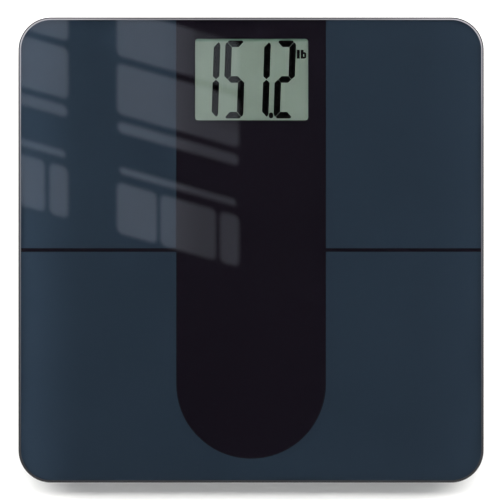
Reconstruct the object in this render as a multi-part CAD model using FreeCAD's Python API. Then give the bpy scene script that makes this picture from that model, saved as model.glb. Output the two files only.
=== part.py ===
import FreeCAD, Part
import math
import os

# Digital bathroom scale: a square glass platform taped to a moulded tray that holds
# four load cells, four sliding feet, a display, a board and two AAA cells.
# Millimetres. Origin at the middle of the footprint, on the floor. +Z is up and
# +Y points from the middle to the display.

Vec = FreeCAD.Vector
UP = Vec(0, 0, 1)

# ---- driving dimensions ----
PLATFORM = 300.0          # side of the square glass
CORNER_R = 21.0           # corner radius of the glass
HEIGHT = 25.0             # floor to top of glass
GLASS = 5.0               # glass thickness
GLASS_BEVEL = 1.5         # width of the polished bevel along the top edge
FILM = 0.2                # printed layer on the back of the glass
TAPE = 0.8                # foam tape under the printed layer

TRAY_INSET = 4.0          # glass edge to tray rim
TRAY_DRAFT = 4.0          # how far the tray side leans in from rim to floor
TRAY_BOTTOM = 6.0         # height of the tray's underside
TRAY_FLOOR = 2.0
TRAY_WALL = 2.2

FOOT_FROM_EDGE = 38.0     # foot centre to the edge of the glass, both ways
FOOT_R = 22.0
FOOT_TRAVEL = 0.5
PAD_R = 17.0
PAD_THICK = 2.4
GROOVE_RADII = (7.0, 12.0)            # middle of each grip groove in a pad
GROOVE_HALF = 0.8
GROOVE_DEEP = 0.5

PANEL_W = 96.8            # black printed panel, which ends in a half circle
PANEL_DEPTH = 134.8       # how far the panel reaches below the middle
BAND_W = 2.35             # black line across the middle
WINDOW_W = 73.0           # clear window for the display
WINDOW_H = 52.7
WINDOW_X = 0.4            # middle of the window, a shade right of the panel's
WINDOW_Y = 110.1
WINDOW_R = 1.9

CELL_R = 5.25             # AAA cell
CELL_LONG = 44.5
CELL_PITCH = 11.5
BOX_HALF_X = 26.0         # inside of the battery box
BOX_HALF_Y = 11.6

WIRE_R = 0.5
WIRE_PITCH = 1.3
WIRE_BEND = 8.0
WIRE_Z = 12.3             # all wires lie in this plane
WIRE_TURN_Y = 58.0        # where the rear cells' wires turn in toward the board
WIRE_PADS_Y = 78.0        # where wires end under the board
REAR_LANE_X = 64.0        # lane of the rear cells' wires past the battery box
REAR_PADS_X = 37.0
FRONT_PADS_X = 40.0

RIBS_ALONG_X = (-78.0, -40.0, 0.0, 40.0)          # Y of each floor rib, besides the wells'
RIBS_ALONG_Y = (-78.0, -48.0, 0.0, 48.0, 78.0)    # X of each floor rib, besides the wells'

# ---- worked out from the driving dimensions ----
HALF = PLATFORM / 2
GLASS_BOTTOM = HEIGHT - GLASS
FILM_BOTTOM = GLASS_BOTTOM - FILM
TRAY_TOP = FILM_BOTTOM - TAPE
TRAY_HALF = HALF - TRAY_INSET
TRAY_R = CORNER_R - TRAY_INSET
FLOOR_TOP = TRAY_BOTTOM + TRAY_FLOOR
RIB_TOP = TRAY_TOP - 0.4
FOOT_AT = HALF - FOOT_FROM_EDGE
WELL_R = FOOT_R + 2.5                 # inside of the foot well above the floor
WELL_HOLE_R = FOOT_R + 0.4            # hole in the tray floor round the foot
WELL_WALL = 2.0
CELL_AXIS_Z = FLOOR_TOP - 0.1 + CELL_R
CONTACT_X = BOX_HALF_X - 0.5          # inner face of the battery contacts
CONTACT_TALL = 4.3                    # half height of a contact plate
TAB_END_X = BOX_HALF_X + 3.2          # where a contact's tab ends outside the box
BOX_WALL = 2.4
BOX_ROOF_BOTTOM = CELL_AXIS_Z + CELL_R + 0.3

CORNERS = {
    "front_left": (-FOOT_AT, FOOT_AT),
    "front_right": (FOOT_AT, FOOT_AT),
    "rear_left": (-FOOT_AT, -FOOT_AT),
    "rear_right": (FOOT_AT, -FOOT_AT),
}

# Load cell, in the well above the foot.
LOAD_CELL_SIDE = 34.0
LOAD_CELL_BOTTOM = WIRE_Z + WIRE_R + 0.2
LOAD_CELL_THICK = 2.8
LOAD_CELL_TOP = LOAD_CELL_BOTTOM + LOAD_CELL_THICK
GAUGE_COVER = 0.8

# Display stack, from the top down.
SEGMENTS_TOP = FILM_BOTTOM - 0.6
SEGMENT_THICK = 0.1
POLARISER = 0.2
LCD_GLASS = 1.0
REFLECTOR = 0.1
LCD_HALF_X = 41.0
LCD_TALL = 61.0
LCD_TOP_Y = WINDOW_Y + WINDOW_H / 2 + 3.0
LCD_BOTTOM_Y = LCD_TOP_Y - LCD_TALL
CONTACT_LEDGE = 3.8                   # front glass reaches past the rear glass
POLARISER_TOP = SEGMENTS_TOP - SEGMENT_THICK
FRONT_GLASS_TOP = POLARISER_TOP - POLARISER
REAR_GLASS_TOP = FRONT_GLASS_TOP - LCD_GLASS
REFLECTOR_TOP = REAR_GLASS_TOP - LCD_GLASS
LCD_BOTTOM = REFLECTOR_TOP - REFLECTOR
DIGIT_TALL = 50.4
DIGIT_WIDE = 13.1
DIGIT_PITCH = 16.3
DIGIT_LEAN = math.radians(1.9)
DIGITS_MIDDLE_Y = WINDOW_Y + 0.1
FIRST_DIGIT_RIGHT = -21.4             # right edge of the first digit, at its foot
STROKE = 4.25
SEGMENT_GAP = 0.3

# Board, under the display.
BOARD_BOTTOM = 13.2
BOARD_THICK = 1.6
BOARD_TOP = BOARD_BOTTOM + BOARD_THICK
BOARD_HALF_X = 44.0
BOARD_Y0 = 74.0
BOARD_Y1 = 138.0
SCREW_SPOTS = [(x, y) for x in (-40.0, 40.0) for y in (88.0, 132.0)]
SWITCH_X = 0.0
SWITCH_Y = 92.0
BUTTON_R = 4.5
BUTTON_TRAVEL = 0.4
SWITCH_BOTTOM = BOARD_BOTTOM - 1.7
PLUNGER_BOTTOM = BOARD_BOTTOM - 2.8
PLUNGER_TOP = BOARD_BOTTOM - 0.8 - BUTTON_TRAVEL

# Battery door, which swings on two short pins at its +Y edge.
DOOR_OPEN_X = 27.2
DOOR_OPEN_Y0 = -13.2
HINGE_Y = 12.3
HINGE_R = 1.2
HINGE_Z = TRAY_BOTTOM + HINGE_R
PIN_R = 0.6
DOOR_THICK = 1.8
DOOR_GAP = 0.3
LATCH_HALF_X = 6.0
LATCH_BACK_Y = -18.0


# ---- small helpers ----
def sign(value):
    return 1 if value > 0 else -1


def box(x0, x1, y0, y1, z0, z1):
    return Part.makeBox(x1 - x0, y1 - y0, z1 - z0, Vec(x0, y0, z0))


def cylinder(x, y, z0, z1, radius):
    return Part.makeCylinder(radius, z1 - z0, Vec(x, y, z0), UP)


def cone(x, y, z0, z1, radius0, radius1):
    return Part.makeCone(radius0, radius1, z1 - z0, Vec(x, y, z0), UP)


def rounded_wire(half_x, half_y, radius, z, x=0.0, y=0.0):
    """Closed outline of a rounded rectangle in a level plane."""
    points = []
    for sx, sy in ((1, -1), (1, 1), (-1, 1), (-1, -1)):
        centre = Vec(x + sx * (half_x - radius), y + sy * (half_y - radius), z)
        middle_angle = math.atan2(sy, sx)
        arc = []
        for turn in (-math.pi / 4, 0.0, math.pi / 4):
            angle = middle_angle + turn
            arc.append(centre + Vec(math.cos(angle), math.sin(angle), 0) * radius)
        points.append(arc)
    edges = []
    for i, (start, middle, end) in enumerate(points):
        edges.append(Part.Arc(start, middle, end).toShape())
        edges.append(Part.makeLine(end, points[(i + 1) % 4][0]))
    return Part.Wire(edges)


def rounded_plate(half_x, half_y, radius, z0, z1, x=0.0, y=0.0):
    face = Part.Face(rounded_wire(half_x, half_y, radius, z0, x, y))
    return face.extrude(Vec(0, 0, z1 - z0))


def stacked(sections):
    """Solid through rounded squares given as (half side, corner radius, height)."""
    wires = [rounded_wire(half, half, radius, z) for half, radius, z in sections]
    return Part.makeLoft(wires, True, True)


def prism(points, z0, z1):
    """Solid on a closed outline of straight lines."""
    closed = [Vec(x, y, z0) for x, y in points] + [Vec(points[0][0], points[0][1], z0)]
    return Part.Face(Part.makePolygon(closed)).extrude(Vec(0, 0, z1 - z0))


def joined(shapes):
    first = shapes[0]
    if len(shapes) == 1:
        return first
    return first.fuse(shapes[1:]).removeSplitter()


def bent_path(points, radius, offset=0.0):
    """Path of straight runs joined by tangent arcs.

    offset is how far the path lies left of the route whose arcs have that radius.
    """
    edges = []
    start = points[0]
    for i in range(1, len(points) - 1):
        corner = points[i]
        into = (corner - points[i - 1]).normalize()
        out = (points[i + 1] - corner).normalize()
        turn = math.acos(max(-1.0, min(1.0, into.dot(out))))
        bend = radius - math.copysign(offset, into.cross(out).z)
        back = bend * math.tan(turn / 2)
        arc_start = corner - into * back
        arc_end = corner + out * back
        centre = arc_start + (out - into * into.dot(out)).normalize() * bend
        middle = centre + (corner - centre).normalize() * bend
        edges.append(Part.makeLine(start, arc_start))
        edges.append(Part.Arc(arc_start, middle, arc_end).toShape())
        start = arc_end
    edges.append(Part.makeLine(start, points[-1]))
    return Part.Wire(edges)


def round_wire(path, radius):
    """Round wire swept along a path."""
    first = path.OrderedEdges[0]
    start = first.valueAt(first.FirstParameter)
    direction = first.tangentAt(first.FirstParameter)
    ring = Part.Wire(Part.makeCircle(radius, start, direction))
    return path.makePipeShell([ring], True, True)


def save(name, shapes):
    solids = [solid for shape in shapes for solid in shape.Solids]
    for solid in solids:
        assert solid.isValid(), name
    body = solids[0] if len(solids) == 1 else Part.makeCompound(solids)
    body.exportStep("parts/" + name + ".step")
    print(name, len(solids), "solids", round(body.Volume, 2), "mm3")


# ---- platform ----
def glass_platform():
    return stacked([
        (HALF - 0.8, CORNER_R - 0.8, GLASS_BOTTOM),
        (HALF, CORNER_R, GLASS_BOTTOM + 0.8),
        (HALF, CORNER_R, HEIGHT - 1.1),
        (HALF - GLASS_BEVEL, CORNER_R - GLASS_BEVEL, HEIGHT),
    ])


def panel_blank():
    """Black panel before its window: straight sides, and a half circle at the end."""
    half = PANEL_W / 2
    turn_y = half - PANEL_DEPTH
    straight = box(-half, half, turn_y, HALF, FILM_BOTTOM, GLASS_BOTTOM)
    end = cylinder(0, turn_y, FILM_BOTTOM, GLASS_BOTTOM, half)
    band = box(-HALF, HALF, -BAND_W / 2, BAND_W / 2, FILM_BOTTOM, GLASS_BOTTOM)
    return joined([straight, end, band])


def film_outline():
    edge = HALF - 1.0
    return rounded_plate(edge, edge, CORNER_R - 1.0, FILM_BOTTOM, GLASS_BOTTOM)


def printed_panel_black():
    window = rounded_plate(
        WINDOW_W / 2, WINDOW_H / 2, WINDOW_R, FILM_BOTTOM, GLASS_BOTTOM, WINDOW_X, WINDOW_Y)
    return panel_blank().common(film_outline()).cut(window)


def printed_field_blue():
    return film_outline().cut(panel_blank())


def platform_tape():
    outer = rounded_plate(TRAY_HALF - 0.6, TRAY_HALF - 0.6, TRAY_R - 0.6, TRAY_TOP, FILM_BOTTOM)
    inner = rounded_plate(TRAY_HALF - 4.6, TRAY_HALF - 4.6, TRAY_R - 4.6, TRAY_TOP, FILM_BOTTOM)
    return outer.cut(inner)


# ---- tray ----
def tray_outside():
    chamfer = 1.4
    low = TRAY_HALF - TRAY_DRAFT
    return stacked([
        (low - chamfer, TRAY_R - TRAY_DRAFT, TRAY_BOTTOM),
        (low, TRAY_R - TRAY_DRAFT, TRAY_BOTTOM + chamfer),
        (TRAY_HALF, TRAY_R, TRAY_TOP),
    ])


def tray_inside():
    low = TRAY_HALF - TRAY_DRAFT
    lean = TRAY_DRAFT * TRAY_FLOOR / (TRAY_TOP - TRAY_BOTTOM)
    return stacked([
        (low + lean - TRAY_WALL, TRAY_R - TRAY_WALL - TRAY_DRAFT + lean, FLOOR_TOP),
        (TRAY_HALF - TRAY_WALL, TRAY_R - TRAY_WALL, TRAY_TOP),
    ])


def floor_ribs():
    """Upright ribs that stiffen the floor, along both directions."""
    half = 0.8
    reach = TRAY_HALF - 3.0
    ribs = []
    for y in (-FOOT_AT, FOOT_AT, *RIBS_ALONG_X):
        ribs.append(box(-reach, reach, y - half, y + half, FLOOR_TOP, RIB_TOP))
    for x in (-FOOT_AT, FOOT_AT, *RIBS_ALONG_Y):
        ribs.append(box(x - half, x + half, -reach, reach, FLOOR_TOP, RIB_TOP))
    return ribs


def edge_gussets():
    """Short ribs along the side walls. With the wall top they carry the tape."""
    spacing = 20.0
    depth = 7.0
    half = 0.7
    gussets = []
    for i in range(-6, 7):
        at = i * spacing
        for side in (-1, 1):
            near, far = sorted((side * (TRAY_HALF - depth), side * (TRAY_HALF - 1.5)))
            gussets.append(box(at - half, at + half, near, far, FLOOR_TOP, TRAY_TOP))
            gussets.append(box(near, far, at - half, at + half, FLOOR_TOP, TRAY_TOP))
    return gussets


def wire_corners(corner):
    """Corner points of the middle wire of a load cell, from the cell to the board."""
    x, y = CORNERS[corner]
    side = sign(x)
    start = Vec(x - side * 12.0, y, WIRE_Z)
    if y > 0:
        return [start, Vec(side * FRONT_PADS_X, y, WIRE_Z)]
    lane = side * REAR_LANE_X
    pads = side * REAR_PADS_X
    return [
        start,
        Vec(lane, y, WIRE_Z),
        Vec(lane, WIRE_TURN_Y, WIRE_Z),
        Vec(pads, WIRE_TURN_Y, WIRE_Z),
        Vec(pads, WIRE_PADS_Y, WIRE_Z),
    ]


def battery_wire_corners(index):
    """Corner points of a battery wire, from its contact's tab to the board."""
    start_y = CELL_PITCH / 2 if index == 0 else -CELL_PITCH / 2
    lane = TAB_END_X + 4.0 + 1.8 * index
    pad = lane - 10.0
    return [
        Vec(TAB_END_X, start_y, WIRE_Z),
        Vec(lane, start_y, WIRE_Z),
        Vec(lane, WIRE_TURN_Y - 8.0, WIRE_Z),
        Vec(pad, WIRE_TURN_Y + 4.0, WIRE_Z),
        Vec(pad, WIRE_PADS_Y, WIRE_Z),
    ]


def channels():
    """Open slots through the ribs where the wires pass."""
    routes = [(wire_corners(corner), 3.2) for corner in CORNERS]
    routes += [(battery_wire_corners(i), 1.5) for i in (0, 1)]
    slots = []
    for points, half in routes:
        for a, b in zip(points, points[1:]):
            x0, x1 = sorted((a.x, b.x))
            y0, y1 = sorted((a.y, b.y))
            slots.append(box(
                x0 - half, x1 + half, y0 - half, y1 + half, WIRE_Z - WIRE_R - 0.2, TRAY_TOP))
    return slots


def rib_clearances():
    """Rooms that the ribs stop at: foot wells, battery box, board and display."""
    rooms = [cylinder(x, y, FLOOR_TOP, TRAY_TOP, WELL_R + 1.0) for x, y in CORNERS.values()]
    rooms.append(box(-BOX_HALF_X - 1, BOX_HALF_X + 1, -12.6, 12.6, FLOOR_TOP, TRAY_TOP))
    rooms.append(box(-8.0, 8.0, LATCH_BACK_Y - 0.6, -11.0, FLOOR_TOP, TRAY_TOP))
    rooms.append(box(-46.0, 46.0, BOARD_Y0 - 2, TRAY_HALF - 4.5, BOARD_BOTTOM - 2.6, TRAY_TOP))
    rooms.append(box(-46.0, 46.0, TRAY_HALF - 4.6, TRAY_HALF - 1.0, BOARD_BOTTOM, TRAY_TOP))
    rooms.append(cylinder(SWITCH_X, SWITCH_Y, FLOOR_TOP, TRAY_TOP, BUTTON_R + 3.0))
    for x, y in SCREW_SPOTS:
        rooms.append(cylinder(x, y, FLOOR_TOP, TRAY_TOP, 2.0))
    return rooms


def well(x, y):
    """Wall and roof of one foot well, with two snap fingers for the load cell."""
    outer = cylinder(x, y, TRAY_BOTTOM, RIB_TOP, WELL_R + WELL_WALL)
    hollow = cylinder(x, y, TRAY_BOTTOM, LOAD_CELL_TOP, WELL_R)
    flex_room = cylinder(x, y, LOAD_CELL_TOP, LOAD_CELL_TOP + 1.0, 11.0)
    fingers = []
    inner = LOAD_CELL_SIDE / 2 + 0.2
    outer_face = inner + 1.6
    hook_tip = inner - 1.0
    half = 3.5
    bottom = LOAD_CELL_BOTTOM - 0.9
    for side in (-1, 1):
        near, far = sorted((y + side * inner, y + side * outer_face))
        hook_near, hook_far = sorted((y + side * hook_tip, y + side * outer_face))
        fingers.append(box(x - half, x + half, near, far, bottom, LOAD_CELL_TOP + 1))
        fingers.append(box(x - half, x + half, hook_near, hook_far, bottom, LOAD_CELL_BOTTOM))
    return joined([outer.cut(hollow).cut(flex_room)] + fingers)


def well_ledge(x, y):
    """Ring at the mouth of a well, a little proud of the underside. The foot hooks over it."""
    ring = cylinder(x, y, TRAY_BOTTOM - 0.6, FLOOR_TOP, WELL_R + WELL_WALL)
    return ring.cut(cylinder(x, y, TRAY_BOTTOM - 0.6, FLOOR_TOP, WELL_HOLE_R))


def battery_box():
    """Walls and roof of the battery box, with the latch pocket and the hinge lugs."""
    roof_top = TRAY_TOP + 0.4
    half_x = BOX_HALF_X + BOX_WALL
    body = box(
        -half_x, half_x, -BOX_HALF_Y - BOX_WALL, BOX_HALF_Y + BOX_WALL + 0.4,
        TRAY_BOTTOM, roof_top)
    pocket = box(-9.2, 9.2, LATCH_BACK_Y - 1.4, -BOX_HALF_Y, TRAY_BOTTOM, 15.2)
    lugs = []
    for side in (-1, 1):
        near, far = sorted((side * DOOR_OPEN_X, side * 31.0))
        lugs.append(box(near, far, HINGE_Y - 2.6, HINGE_Y + 2.6, TRAY_BOTTOM, 10.0))
    return joined([body, pocket] + lugs)


def battery_box_hollow():
    """Everything cut out for the cells, the door, its hinge and its latch."""
    cells = box(-BOX_HALF_X, BOX_HALF_X, -BOX_HALF_Y, BOX_HALF_Y, TRAY_BOTTOM, BOX_ROOF_BOTTOM)
    front_y = HINGE_Y + HINGE_R + DOOR_GAP
    opening = box(-DOOR_OPEN_X, DOOR_OPEN_X, DOOR_OPEN_Y0, HINGE_Y, TRAY_BOTTOM, FLOOR_TOP)
    hinge_room = box(
        -DOOR_OPEN_X, DOOR_OPEN_X, HINGE_Y - 1.6, front_y,
        TRAY_BOTTOM, HINGE_Z + HINGE_R + DOOR_GAP)
    pocket = box(-7.8, 7.8, LATCH_BACK_Y, -BOX_HALF_Y, FLOOR_TOP, 14.0)
    finger_room = box(-7.8, 7.8, LATCH_BACK_Y + 0.9, -BOX_HALF_Y, TRAY_BOTTOM, FLOOR_TOP)
    pin_holes = Part.makeCylinder(
        PIN_R + 0.05, 59.0, Vec(-29.5, HINGE_Y, HINGE_Z), Vec(1, 0, 0))
    return joined([cells, opening, hinge_room, pocket, finger_room, pin_holes])


def contact_slots():
    """Slots in the box wall for the tabs of the two end contacts."""
    return [
        box(
            CONTACT_X, BOX_HALF_X + BOX_WALL + 0.6, side * CELL_PITCH / 2 - 1.6,
            side * CELL_PITCH / 2 + 1.6, WIRE_Z - 0.3, WIRE_Z + 0.3)
        for side in (-1, 1)]


def polarity_marks():
    """Raised plus and minus marks on the roof of the box, one pair for each cell."""
    bottom = BOX_ROOF_BOTTOM - 0.25
    top = BOX_ROOF_BOTTOM + 0.2
    long = 2.0
    thin = 0.4
    marks = []
    for side in (-1, 1):
        plus_x = side * 17.0
        y = side * CELL_PITCH / 2
        marks.append(box(plus_x - long, plus_x + long, y - thin, y + thin, bottom, top))
        marks.append(box(plus_x - thin, plus_x + thin, y - long, y + long, bottom, top))
        marks.append(box(-plus_x - long, -plus_x + long, y - thin, y + thin, bottom, top))
    return marks


def screw_post(x, y):
    return cylinder(x, y, FLOOR_TOP - 0.5, BOARD_BOTTOM, 3.0)


def button_guide():
    """Raised collar that guides the unit button."""
    return cylinder(SWITCH_X, SWITCH_Y, FLOOR_TOP - 0.5, FLOOR_TOP + 0.6, BUTTON_R + 2.0)


def underside_grooves():
    """Two shallow square grooves moulded in the underside round the battery door."""
    grooves = []
    depth = 0.5
    for half in (62.0, 70.0):
        outer = rounded_plate(half, half, 10.0, TRAY_BOTTOM, TRAY_BOTTOM + depth)
        inner = rounded_plate(half - 1.2, half - 1.2, 8.8, TRAY_BOTTOM, TRAY_BOTTOM + depth)
        grooves.append(outer.cut(inner))
    return grooves


def label_recess():
    """Blank recess for a rating label."""
    return rounded_plate(27.0, 11.0, 2.0, TRAY_BOTTOM, TRAY_BOTTOM + 0.3, 0, -42.0)


def base_tray():
    shell = tray_outside().cut(tray_inside())
    ribs = joined(floor_ribs() + edge_gussets())
    ribs = ribs.common(tray_outside()).cut(rib_clearances())
    posts = [screw_post(x, y) for x, y in SCREW_SPOTS]
    tray = joined([shell, ribs, battery_box(), button_guide()] + posts)
    wells = [cylinder(x, y, TRAY_BOTTOM, TRAY_TOP, WELL_R + 0.5) for x, y in CORNERS.values()]
    tray = tray.cut(wells)
    for x, y in CORNERS.values():
        tray = joined([tray, well(x, y), well_ledge(x, y)])
    pilot_holes = [cylinder(x, y, 9.0, BOARD_BOTTOM, 1.05) for x, y in SCREW_SPOTS]
    button_hole = cylinder(
        SWITCH_X, SWITCH_Y, TRAY_BOTTOM, FLOOR_TOP + 1, BUTTON_R + 0.3)
    finger_dish = cone(
        SWITCH_X, SWITCH_Y, TRAY_BOTTOM, TRAY_BOTTOM + 0.6, BUTTON_R + 2.4, BUTTON_R + 1.4)
    cuts = channels() + [battery_box_hollow()] + contact_slots() + pilot_holes
    tray = tray.cut(cuts + [button_hole, finger_dish, label_recess()] + underside_grooves())
    return joined([tray] + polarity_marks())


# ---- feet and load cells ----
def load_cell(x, y):
    """Stamped steel plate: an outer frame with a tongue that reaches into its window."""
    half = LOAD_CELL_SIDE / 2
    side = sign(x)
    bottom = LOAD_CELL_BOTTOM
    plate = rounded_plate(half, half, 3.0, bottom, LOAD_CELL_TOP, x, y)
    window = rounded_plate(half - 4.5, half - 4.5, 1.5, bottom, LOAD_CELL_TOP, x, y)
    root, tip = sorted((x - side * (half - 4.4), x + side * 8.0))
    tongue = box(root, tip, y - 4.5, y + 4.5, bottom, LOAD_CELL_TOP)
    head = cylinder(x, y, bottom, LOAD_CELL_TOP, 8.0)
    bar_near, bar_far = sorted((x + side * 5.0, x + side * 10.0))
    bar = box(bar_near, bar_far, y - 10.0, y + 10.0, bottom, LOAD_CELL_TOP)
    return joined([plate.cut(window), tongue, head, bar])


def gauge_cover(x, y):
    """Sealant over the strain gauge, on the underside of the tongue's neck."""
    side = sign(x)
    bottom = LOAD_CELL_BOTTOM - GAUGE_COVER
    return rounded_plate(
        3.0, 3.4, 1.0, bottom, LOAD_CELL_BOTTOM, x - side * 9.0, y)


def cell_wires(corner):
    """The three wires of one load cell, side by side."""
    points = wire_corners(corner)
    wires = []
    for lane in (-1, 0, 1):
        offset = lane * WIRE_PITCH
        path = bent_path(shifted_route(points, offset), WIRE_BEND, offset)
        wires.append(round_wire(path, WIRE_R))
    return wires


def shifted_route(points, offset):
    """The route moved to its left in its own plane, with its corners kept square."""
    legs = list(zip(points, points[1:]))
    moved = []
    for i, point in enumerate(points):
        for a, b in legs[max(0, i - 1):i + 1]:
            point = point + UP.cross((b - a).normalize()) * offset
        moved.append(point)
    return moved


def foot(x, y):
    """Plastic cup with a middle post under the load cell's tongue and three snap hooks."""
    bottom = 1.6
    floor_z = 4.4
    skirt_top = 10.8
    chamfer = cone(x, y, bottom, PAD_THICK, FOOT_R - 0.8, FOOT_R)
    disc = cylinder(x, y, PAD_THICK, floor_z, FOOT_R)
    skirt = cylinder(x, y, floor_z, skirt_top, FOOT_R)
    skirt = skirt.cut(cylinder(x, y, floor_z, skirt_top, FOOT_R - 1.8))
    post_top = LOAD_CELL_BOTTOM - FOOT_TRAVEL - 0.1
    post = cylinder(x, y, floor_z, post_top, 4.0)
    spokes = []
    for turn in range(3):
        web = box(3.0, FOOT_R - 1.0, -0.7, 0.7, floor_z, 9.0)
        web.rotate(Vec(0, 0, 0), UP, 120 * turn)
        web.translate(Vec(x, y, 0))
        spokes.append(web)
    hooks = [foot_hook(x, y, 60 + 120 * turn) for turn in range(3)]
    cup = joined([chamfer, disc, skirt, post] + spokes + hooks)
    return cup.cut(cylinder(x, y, bottom, PAD_THICK, PAD_R + 0.15))


def foot_hook(x, y, angle):
    """Nib on the skirt that stays above the well's ledge."""
    nib = box(FOOT_R - 1.0, FOOT_R + 1.6, -4.0, 4.0, FLOOR_TOP + 0.05, FLOOR_TOP + 1.4)
    outside = cylinder(0, 0, FLOOR_TOP, FLOOR_TOP + 2, FOOT_R + 1.6)
    nib = nib.common(outside)
    nib.rotate(Vec(0, 0, 0), UP, angle)
    nib.translate(Vec(x, y, 0))
    return nib


def foot_pad(x, y):
    """Rubber disc with two grip grooves in its underside."""
    pad = cylinder(x, y, 0, PAD_THICK, PAD_R)
    for radius in GROOVE_RADII:
        groove = cylinder(x, y, 0, GROOVE_DEEP, radius + GROOVE_HALF)
        pad = pad.cut(groove.cut(cylinder(x, y, 0, GROOVE_DEEP, radius - GROOVE_HALF)))
    return pad


# ---- display ----
def segment_outline(index):
    """One of the seven bars of a digit, as (x, y) points in an upright digit.

    0 top, 1 upper right, 2 lower right, 3 bottom, 4 lower left, 5 upper left, 6 middle.
    """
    w = DIGIT_WIDE / 2
    h = DIGIT_TALL / 2
    s = STROKE
    g = SEGMENT_GAP
    m = s / 2
    if index in (0, 3):
        half = [(w - s - g / 2, h - s), (w - 1.45, h - 1.0), (w - 2.4, h)]
        bar = half + [(-x, y) for x, y in reversed(half)]
        return bar if index == 0 else [(x, -y) for x, y in bar]
    if index == 6:
        return [
            (w - m - g / 2, 0), (w - s - g / 2, m), (g / 2 + s - w, m),
            (g / 2 + m - w, 0), (g / 2 + s - w, -m), (w - s - g / 2, -m)]
    bar = [
        (w - m, g / 2), (w, m), (w, h - 3.2), (w - 0.4, h - 1.9), (w - 1.3, h - 1.0 - g / 2),
        (w - s, h - s - g / 2), (w - s, m)]
    sign_x = 1 if index in (1, 2) else -1
    sign_y = 1 if index in (1, 5) else -1
    return [(sign_x * x, sign_y * y) for x, y in bar]


DIGITS = {"1": (1, 2), "5": (0, 5, 6, 2, 3), "2": (0, 1, 6, 4, 3)}


def leaned(points, x, y):
    """Points of a digit placed on the display, leaning to the right."""
    return [(x + px + (py + DIGIT_TALL / 2) * math.tan(DIGIT_LEAN), y + py) for px, py in points]


def lcd_segments():
    """Dark bars of the reading, a decimal point and the unit sign."""
    shapes = []
    for place, digit in enumerate("1512"):
        centre_x = FIRST_DIGIT_RIGHT + place * DIGIT_PITCH - DIGIT_WIDE / 2
        for index in DIGITS[digit]:
            outline = leaned(segment_outline(index), centre_x, DIGITS_MIDDLE_Y)
            shapes.append(prism(outline, POLARISER_TOP, SEGMENTS_TOP))
    point_x = FIRST_DIGIT_RIGHT + 2 * DIGIT_PITCH + 1.7
    point_y = DIGITS_MIDDLE_Y - DIGIT_TALL / 2 + 2.0
    shapes.append(rounded_plate(1.4, 1.9, 1.35, POLARISER_TOP, SEGMENTS_TOP, point_x, point_y))
    return shapes + unit_sign(29.6, DIGITS_MIDDLE_Y + 13.5)


def unit_sign(x, y):
    """The letters lb, for pounds."""
    tall = 5.6
    stem = 1.85
    bowl_tall = 4.1
    bowl_wide = 3.6
    b_left = x + 2.5
    bowl_x = b_left + bowl_wide / 2
    bowl_y = y + bowl_tall / 2
    letter_l = box(x, x + stem, y, y + tall, POLARISER_TOP, SEGMENTS_TOP)
    upright = box(b_left, b_left + stem, y, y + tall, POLARISER_TOP, SEGMENTS_TOP)
    bowl = rounded_plate(
        bowl_wide / 2, bowl_tall / 2, 1.3, POLARISER_TOP, SEGMENTS_TOP, bowl_x, bowl_y)
    eye = rounded_plate(0.3, 0.9, 0.28, POLARISER_TOP, SEGMENTS_TOP, bowl_x + 0.1, bowl_y)
    return [letter_l, joined([upright, bowl]).cut(eye)]


def lcd_polariser():
    return box(-LCD_HALF_X + 1, LCD_HALF_X - 1, LCD_BOTTOM_Y + 1, LCD_TOP_Y - 1,
               FRONT_GLASS_TOP, POLARISER_TOP)


def lcd_front_glass():
    return box(-LCD_HALF_X, LCD_HALF_X, LCD_BOTTOM_Y, LCD_TOP_Y, REAR_GLASS_TOP, FRONT_GLASS_TOP)


def lcd_rear_glass():
    return box(-LCD_HALF_X, LCD_HALF_X, LCD_BOTTOM_Y + CONTACT_LEDGE, LCD_TOP_Y,
               REFLECTOR_TOP, REAR_GLASS_TOP)


def lcd_reflector():
    return box(-LCD_HALF_X + 1, LCD_HALF_X - 1, LCD_BOTTOM_Y + CONTACT_LEDGE + 1,
               LCD_TOP_Y - 1, LCD_BOTTOM, REFLECTOR_TOP)


def lcd_holder():
    """Frame on the board that carries the display's edges and keeps the rubber strip."""
    half = LCD_HALF_X + 2.6
    y0 = LCD_BOTTOM_Y - 2.4
    y1 = LCD_TOP_Y + 1.6
    frame = box(-half, half, y0, y1, BOARD_TOP, SEGMENTS_TOP)
    room = box(-LCD_HALF_X - 0.2, LCD_HALF_X + 0.2, LCD_BOTTOM_Y - 0.2, LCD_TOP_Y + 0.2,
               LCD_BOTTOM, SEGMENTS_TOP)
    opening = box(-36.5, 36.5, LCD_BOTTOM_Y + 6.5, LCD_TOP_Y - 2.5, BOARD_TOP, LCD_BOTTOM)
    strip_room = box(-37.2, 37.2, LCD_BOTTOM_Y + 0.4, LCD_BOTTOM_Y + 3.4,
                     BOARD_TOP, LCD_BOTTOM)
    heads = [cylinder(x, y, BOARD_TOP, LCD_BOTTOM, 2.9) for x, y in SCREW_SPOTS]
    return frame.cut([room, opening, strip_room] + heads)


def zebra_strip():
    return box(-37.0, 37.0, LCD_BOTTOM_Y + 0.6, LCD_BOTTOM_Y + 3.2, BOARD_TOP, REAR_GLASS_TOP)


# ---- board ----
def main_board():
    board = box(-BOARD_HALF_X, BOARD_HALF_X, BOARD_Y0, BOARD_Y1, BOARD_BOTTOM, BOARD_TOP)
    return board.cut([cylinder(x, y, BOARD_BOTTOM, BOARD_TOP, 1.5) for x, y in SCREW_SPOTS])


def board_chip():
    """Bare chip under a low dome of black resin."""
    radius = 7.0
    height = 1.5
    ball_r = (radius * radius + height * height) / (2 * height)
    centre_z = BOARD_TOP + height - ball_r
    ball = Part.makeSphere(ball_r, Vec(-12.0, 112.0, centre_z))
    return ball.common(box(-30, 10, 95, 130, BOARD_TOP, BOARD_TOP + 3))


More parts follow.
